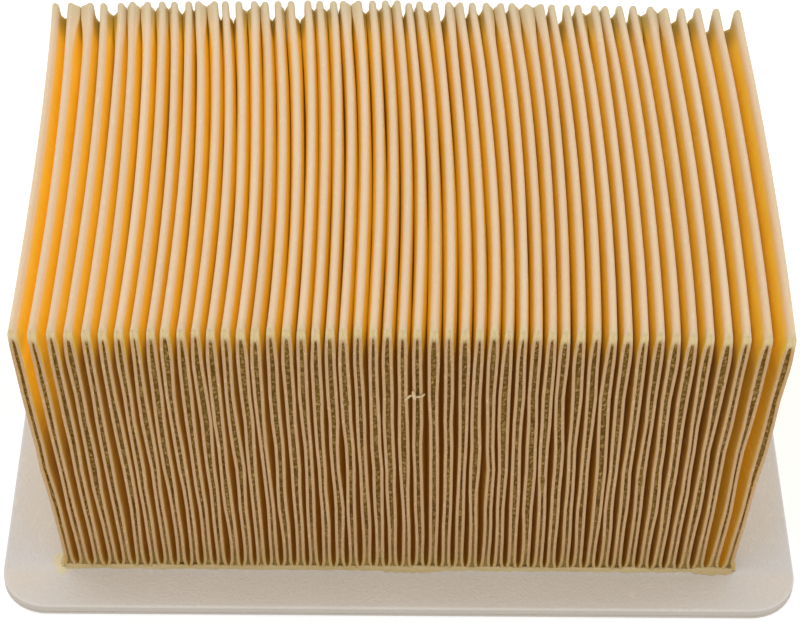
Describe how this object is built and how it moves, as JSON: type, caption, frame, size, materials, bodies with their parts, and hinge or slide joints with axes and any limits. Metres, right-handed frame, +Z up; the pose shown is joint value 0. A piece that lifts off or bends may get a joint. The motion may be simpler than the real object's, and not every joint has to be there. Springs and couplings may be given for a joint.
{
  "type": "pleated panel air filter",
  "caption": "Rectangular engine air filter: a tall pack of fanned paper pleats, glued at both ends, standing on a flat felt sealing flange with rounded corners.",
  "frame": {"origin": "middle of the flange's underside, on the surface the filter stands on", "axes": "+X across the pleats along the flange's long side, +Y along the pleats away from the front face, +Z up through the pack"},
  "size_m": [0.177, 0.127, 0.0795],
  "materials": {
    "filter_paper": "matte",
    "seam_glue": "matte",
    "bead_glue": "satin",
    "flange_felt": "matte",
    "flange_board": "matte"
  },
  "bodies": {
    "root": {"pleated_media": "filter_paper", "front_pleat_seams": "seam_glue", "rear_pleat_seams": "seam_glue", "front_spacer_lines": "bead_glue", "middle_spacer_lines": "bead_glue", "rear_spacer_lines": "bead_glue", "front_base_bead": "bead_glue", "rear_base_bead": "bead_glue", "left_base_bead": "bead_glue", "right_base_bead": "bead_glue", "upper_felt": "flange_felt", "flange_board": "flange_board", "lower_felt": "flange_felt"}
  },
  "joints": []
}
